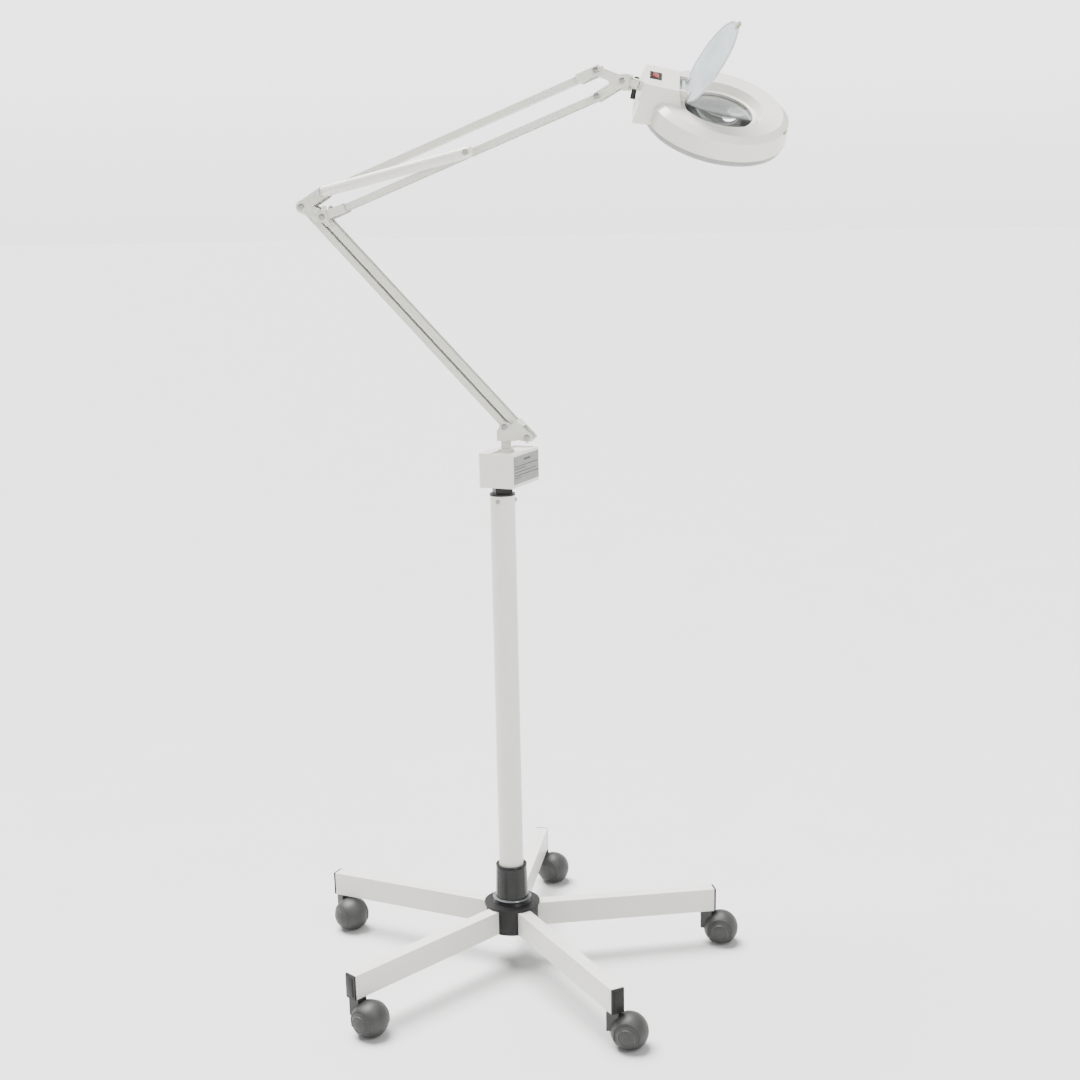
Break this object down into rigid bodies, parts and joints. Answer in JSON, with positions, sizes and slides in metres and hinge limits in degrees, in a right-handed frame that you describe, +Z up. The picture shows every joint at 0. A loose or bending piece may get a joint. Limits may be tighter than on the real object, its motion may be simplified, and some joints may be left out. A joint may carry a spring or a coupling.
{
  "type": "magnifying lamp",
  "caption": "Floor-standing magnifying lamp: castered star base, column, sprung jointed arm and round lamp head with lens and flip cover.",
  "frame": {"origin": "the column's axis where it meets the floor", "axes": "+Z up, +X towards the lamp head in the arm's plane, +Y to the left when looking along +X"},
  "size_m": [0.741, 0.6496, 1.4152],
  "materials": {
    "white_paint": "satin powder coat",
    "white_plastic": "glossy moulded",
    "dark_plastic": "semi-matt moulded",
    "grey_plastic": "lightly textured",
    "black_tyre": "matt",
    "steel": "plated",
    "grey_plate": "printed plate, no text",
    "lens_glass": "clear polished",
    "lamp_glass": "frosted white",
    "diffuser": "translucent prismatic",
    "cover_plastic": "translucent frosted",
    "red": "glossy",
    "olive": "matt"
  },
  "bodies": {
    "base": {"hub_body": "dark_plastic", "hub_sleeve": "dark_plastic", "column": "white_paint", "column_ring": "dark_plastic", "adapter_block": "dark_plastic", "column_screws": "steel", "ballast_box": "white_plastic", "ballast_cover": "white_plastic", "rating_plate": "grey_plate", "choke": "steel", "inlet_gland": "dark_plastic", "leg_1": "white_paint", "leg_2": "white_paint", "leg_3": "white_paint", "leg_4": "white_paint", "leg_5": "white_paint", "leg_cap_1": "dark_plastic", "leg_cap_2": "dark_plastic", "leg_cap_3": "dark_plastic", "leg_cap_4": "dark_plastic", "leg_cap_5": "dark_plastic"},
    "caster_1": {"caster_hood_1": "grey_plastic"},
    "wheel_1": {"caster_wheel_1": "black_tyre"},
    "caster_2": {"caster_hood_2": "grey_plastic"},
    "wheel_2": {"caster_wheel_2": "black_tyre"},
    "caster_3": {"caster_hood_3": "grey_plastic"},
    "wheel_3": {"caster_wheel_3": "black_tyre"},
    "caster_4": {"caster_hood_4": "grey_plastic"},
    "wheel_4": {"caster_wheel_4": "black_tyre"},
    "caster_5": {"caster_hood_5": "grey_plastic"},
    "wheel_5": {"caster_wheel_5": "black_tyre"},
    "arm_base": {"swivel_post": "white_paint", "shoulder_bracket": "white_paint", "shoulder_pins": "steel"},
    "lower_front": {"lower_bar_front": "white_paint"},
    "lower_rear": {"lower_bar_rear": "white_paint"},
    "elbow": {"elbow_bracket": "white_paint", "stop_plates": "white_paint", "elbow_pins": "steel"},
    "upper_bottom": {"upper_bar_bottom": "white_paint", "tube_anchor": "steel"},
    "upper_top": {"upper_bar_top": "white_paint"},
    "spring_rod": {"spring_rod": "steel"},
    "spring_tube": {"spring_tube": "white_plastic"},
    "head_bracket": {"head_bracket": "white_paint", "head_bracket_pins": "steel"},
    "knuckle": {"knuckle": "white_paint"},
    "clamp_knob": {"clamp_knob": "white_plastic"},
    "neck": {"swivel_neck": "white_paint", "yaw_pin": "steel"},
    "head": {"head_shell": "white_plastic", "lens": "lens_glass", "lens_ring": "white_plastic", "ring_lamp": "lamp_glass", "diffuser": "diffuser", "hinge_pin": "steel", "rocker_frame": "dark_plastic"},
    "cover": {"flip_cover": "cover_plastic", "cover_tab": "olive"},
    "rocker": {"rocker": "red"}
  },
  "joints": [
    {"name": "caster_swivel_1", "type": "hinge", "parent": "base", "child": "caster_1", "pos_m": [0.2873, 0.13397, 0.054], "axis": [0, 0, 1], "continuous": true},
    {"name": "wheel_spin_1", "type": "hinge", "parent": "caster_1", "child": "wheel_1", "pos_m": [0.31021, 0.13598, 0.0254], "axis": [-0.0872, 0.9962, 0], "continuous": true},
    {"name": "caster_swivel_2", "type": "hinge", "parent": "base", "child": "caster_2", "pos_m": [-0.03863, 0.31464, 0.054], "axis": [0, 0, 1], "continuous": true},
    {"name": "wheel_spin_2", "type": "hinge", "parent": "caster_2", "child": "wheel_2", "pos_m": [-0.01632, 0.30907, 0.0254], "axis": [0.2419, 0.9703, 0], "continuous": true},
    {"name": "caster_swivel_3", "type": "hinge", "parent": "base", "child": "caster_3", "pos_m": [-0.31118, 0.06049, 0.054], "axis": [0, 0, 1], "continuous": true},
    {"name": "wheel_spin_3", "type": "hinge", "parent": "caster_3", "child": "wheel_3", "pos_m": [-0.29356, 0.0457, 0.0254], "axis": [0.6428, 0.766, 0], "continuous": true},
    {"name": "caster_swivel_4", "type": "hinge", "parent": "base", "child": "caster_4", "pos_m": [-0.15368, -0.27725, 0.054], "axis": [0, 0, 1], "continuous": true},
    {"name": "wheel_spin_4", "type": "hinge", "parent": "caster_4", "child": "wheel_4", "pos_m": [-0.13221, -0.2855, 0.0254], "axis": [0.3584, 0.9336, 0], "continuous": true},
    {"name": "caster_swivel_5", "type": "hinge", "parent": "base", "child": "caster_5", "pos_m": [0.21619, -0.23184, 0.054], "axis": [0, 0, 1], "continuous": true},
    {"name": "wheel_spin_5", "type": "hinge", "parent": "caster_5", "child": "wheel_5", "pos_m": [0.23919, -0.23184, 0.0254], "axis": [0, 1, 0], "continuous": true},
    {"name": "arm_swivel", "type": "hinge", "parent": "base", "child": "arm_base", "pos_m": [0.0075, 0, 0.8317], "axis": [0, 0, 1], "range_deg": [-170, 170]},
    {"name": "lower_arm_tilt", "type": "hinge", "parent": "arm_base", "child": "lower_front", "pos_m": [0.0438, 0, 0.8375], "axis": [0, 1, 0], "range_deg": [-5, 80]},
    {"name": "lower_rear_follow", "type": "hinge", "parent": "arm_base", "child": "lower_rear", "pos_m": [0.00908, 0, 0.85296], "axis": [0, 1, 0], "range_deg": [-6, 81]},
    {"name": "elbow_follow", "type": "hinge", "parent": "lower_front", "child": "elbow", "pos_m": [-0.26596, 0, 1.16392], "axis": [0, 1, 0], "range_deg": [-81, 6]},
    {"name": "upper_arm_tilt", "type": "hinge", "parent": "elbow", "child": "upper_bottom", "pos_m": [-0.26596, 0, 1.16392], "axis": [0, 1, 0], "range_deg": [-28, 26]},
    {"name": "upper_top_follow", "type": "hinge", "parent": "elbow", "child": "upper_top", "pos_m": [-0.26657, 0, 1.19891], "axis": [0, 1, 0], "range_deg": [-29, 27]},
    {"name": "rod_follow", "type": "hinge", "parent": "elbow", "child": "spring_rod", "pos_m": [-0.26657, 0, 1.19891], "axis": [0, 1, 0], "range_deg": [-31, 30]},
    {"name": "tube_slide", "type": "slide", "parent": "spring_rod", "child": "spring_tube", "axis": [0.9765, 0, 0.2156], "range_m": [-0.018, 0.018]},
    {"name": "head_bracket_follow", "type": "hinge", "parent": "upper_bottom", "child": "head_bracket", "pos_m": [0.15582, 0, 1.32078], "axis": [0, 1, 0], "range_deg": [-27, 29]},
    {"name": "head_tilt", "type": "hinge", "parent": "head_bracket", "child": "knuckle", "pos_m": [0.19212, 0, 1.34038], "axis": [0, 1, 0], "range_deg": [-40, 50]},
    {"name": "clamp_knob_turn", "type": "hinge", "parent": "head_bracket", "child": "clamp_knob", "pos_m": [0.19212, 0, 1.34038], "axis": [0, 1, 0], "continuous": true},
    {"name": "head_yaw", "type": "hinge", "parent": "knuckle", "child": "neck", "pos_m": [0.20868, 0, 1.33655], "axis": [0.225, 0, 0.9744], "range_deg": [-55, 8]},
    {"name": "head_roll", "type": "hinge", "parent": "neck", "child": "head", "pos_m": [0.20868, 0, 1.33655], "axis": [0.9318, 0.2924, -0.2151], "range_deg": [-50, 15]},
    {"name": "cover_flip", "type": "hinge", "parent": "head", "child": "cover", "pos_m": [0.27391, 0.01565, 1.32938], "axis": [-0.1459, 0.8444, 0.5155], "range_deg": [-15, 68]},
    {"name": "rocker_tilt", "type": "hinge", "parent": "head", "child": "rocker", "pos_m": [0.23787, -0.0008, 1.34613], "axis": [-0.1459, 0.8444, 0.5155], "range_deg": [-14, 0]}
  ],
  "couplings": [
    {"joint": "lower_rear_follow", "follows": "lower_arm_tilt", "ratio": 1},
    {"joint": "elbow_follow", "follows": "lower_arm_tilt", "ratio": -1},
    {"joint": "upper_top_follow", "follows": "upper_arm_tilt", "ratio": 1},
    {"joint": "rod_follow", "follows": "upper_arm_tilt", "ratio": 1.03},
    {"joint": "tube_slide", "follows": "upper_arm_tilt", "m_per_rad": 0.033},
    {"joint": "head_bracket_follow", "follows": "upper_arm_tilt", "ratio": -1}
  ]
}
